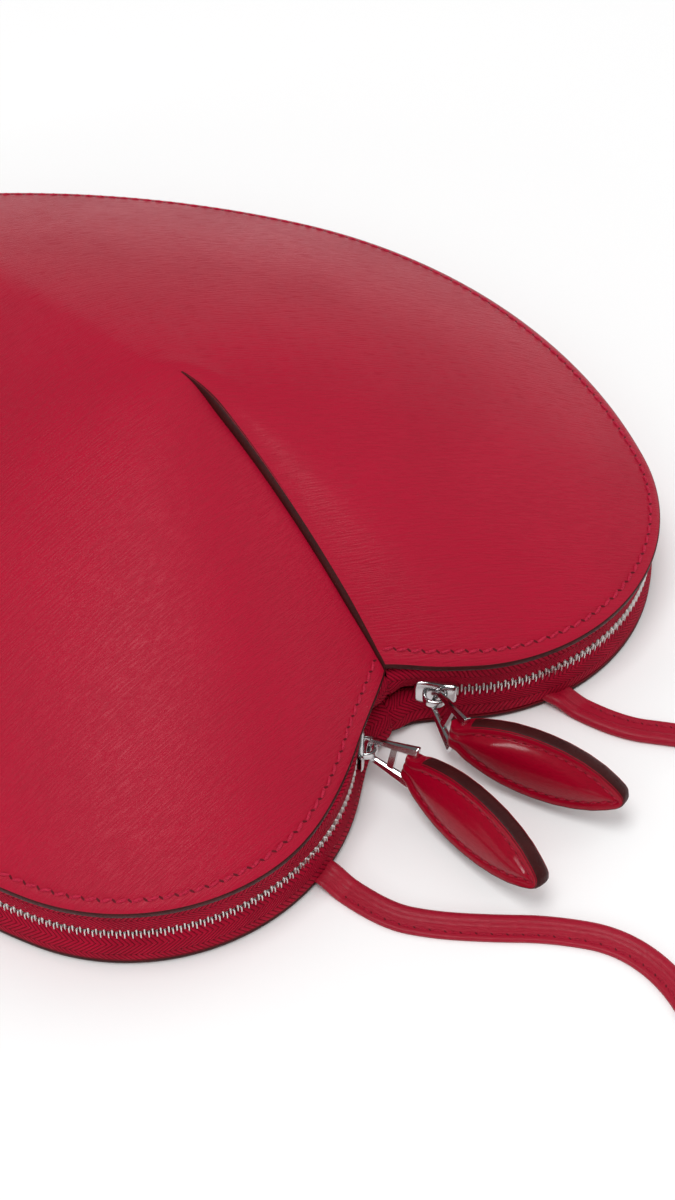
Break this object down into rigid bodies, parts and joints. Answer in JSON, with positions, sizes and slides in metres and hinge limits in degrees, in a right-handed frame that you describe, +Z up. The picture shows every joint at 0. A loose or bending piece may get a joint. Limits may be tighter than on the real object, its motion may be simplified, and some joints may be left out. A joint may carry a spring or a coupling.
{
  "type": "heart shaped purse",
  "caption": "Heart shaped leather purse with a domed, slit front panel, a zip opened by sliders meeting at the notch, leather-tipped pulls and a narrow shoulder strap.",
  "frame": {"origin": "on the back panel's outer face, on the axis of symmetry, midway between the centres of the two lobes", "axes": "+Z up out of the back panel through the domed front, +Y along the axis of symmetry from the notch to the tip, +X towards the right-hand lobe with the notch nearest the viewer"},
  "size_m": [0.232, 0.4743, 0.0639],
  "materials": {
    "front_leather": "satin",
    "back_leather": "satin",
    "drop_leather": "gloss",
    "strap_leather": "satin",
    "edge": "gloss",
    "lining": "matte",
    "tape": "matte",
    "nickel": "satin",
    "bright_metal": "polished"
  },
  "bodies": {
    "bag": {"front_panel": "front_leather", "front_lining": "lining", "back_panel": "back_leather", "back_lining": "lining", "base_gusset": "back_leather", "upper_tape_right": "tape", "upper_tape_left": "tape", "lower_tape_right": "tape", "lower_tape_left": "tape", "upper_teeth_right": "nickel", "upper_teeth_left": "nickel", "lower_teeth_right": "nickel", "lower_teeth_left": "nickel", "top_stops_right": "nickel", "top_stops_left": "nickel", "bottom_stop_right": "nickel", "bottom_stop_left": "nickel", "strap_tab_right": "strap_leather", "strap_tab_left": "strap_leather", "strap": "strap_leather"},
    "right_slider": {"slider_right": "bright_metal", "bail_right": "bright_metal"},
    "right_pull": {"pull_right": "bright_metal"},
    "right_drop": {"drop_leather_right": "drop_leather", "drop_core_right": "edge"},
    "left_slider": {"slider_left": "bright_metal", "bail_left": "bright_metal"},
    "left_pull": {"pull_left": "bright_metal"},
    "left_drop": {"drop_leather_left": "drop_leather", "drop_core_left": "edge"}
  },
  "joints": [
    {"name": "right_slider_travel", "type": "hinge", "parent": "bag", "child": "right_slider", "pos_m": [0.052, 0, 0.011], "axis": [0, 0, 1], "range_deg": [0, 105], "deforming": ["upper_teeth_right", "lower_teeth_right"]},
    {"name": "right_pull_swing", "type": "hinge", "parent": "right_slider", "child": "right_pull", "pos_m": [0.01093, -0.03829, 0.011], "axis": [0, 0, 1], "range_deg": [-6, 25]},
    {"name": "right_drop_swing", "type": "hinge", "parent": "right_pull", "child": "right_drop", "pos_m": [0.00783, -0.04988, 0.011], "axis": [0, 0, 1], "range_deg": [-5, 16]},
    {"name": "left_slider_travel", "type": "hinge", "parent": "bag", "child": "left_slider", "pos_m": [-0.052, 0, 0.011], "axis": [0, 0, -1], "range_deg": [0, 105], "deforming": ["upper_teeth_left", "lower_teeth_left"]},
    {"name": "left_pull_swing", "type": "hinge", "parent": "left_slider", "child": "left_pull", "pos_m": [-0.01093, -0.03829, 0.011], "axis": [0, 0, -1], "range_deg": [-6, 28]},
    {"name": "left_drop_swing", "type": "hinge", "parent": "left_pull", "child": "left_drop", "pos_m": [-0.00723, -0.04971, 0.011], "axis": [0, 0, -1], "range_deg": [-5, 35]}
  ]
}
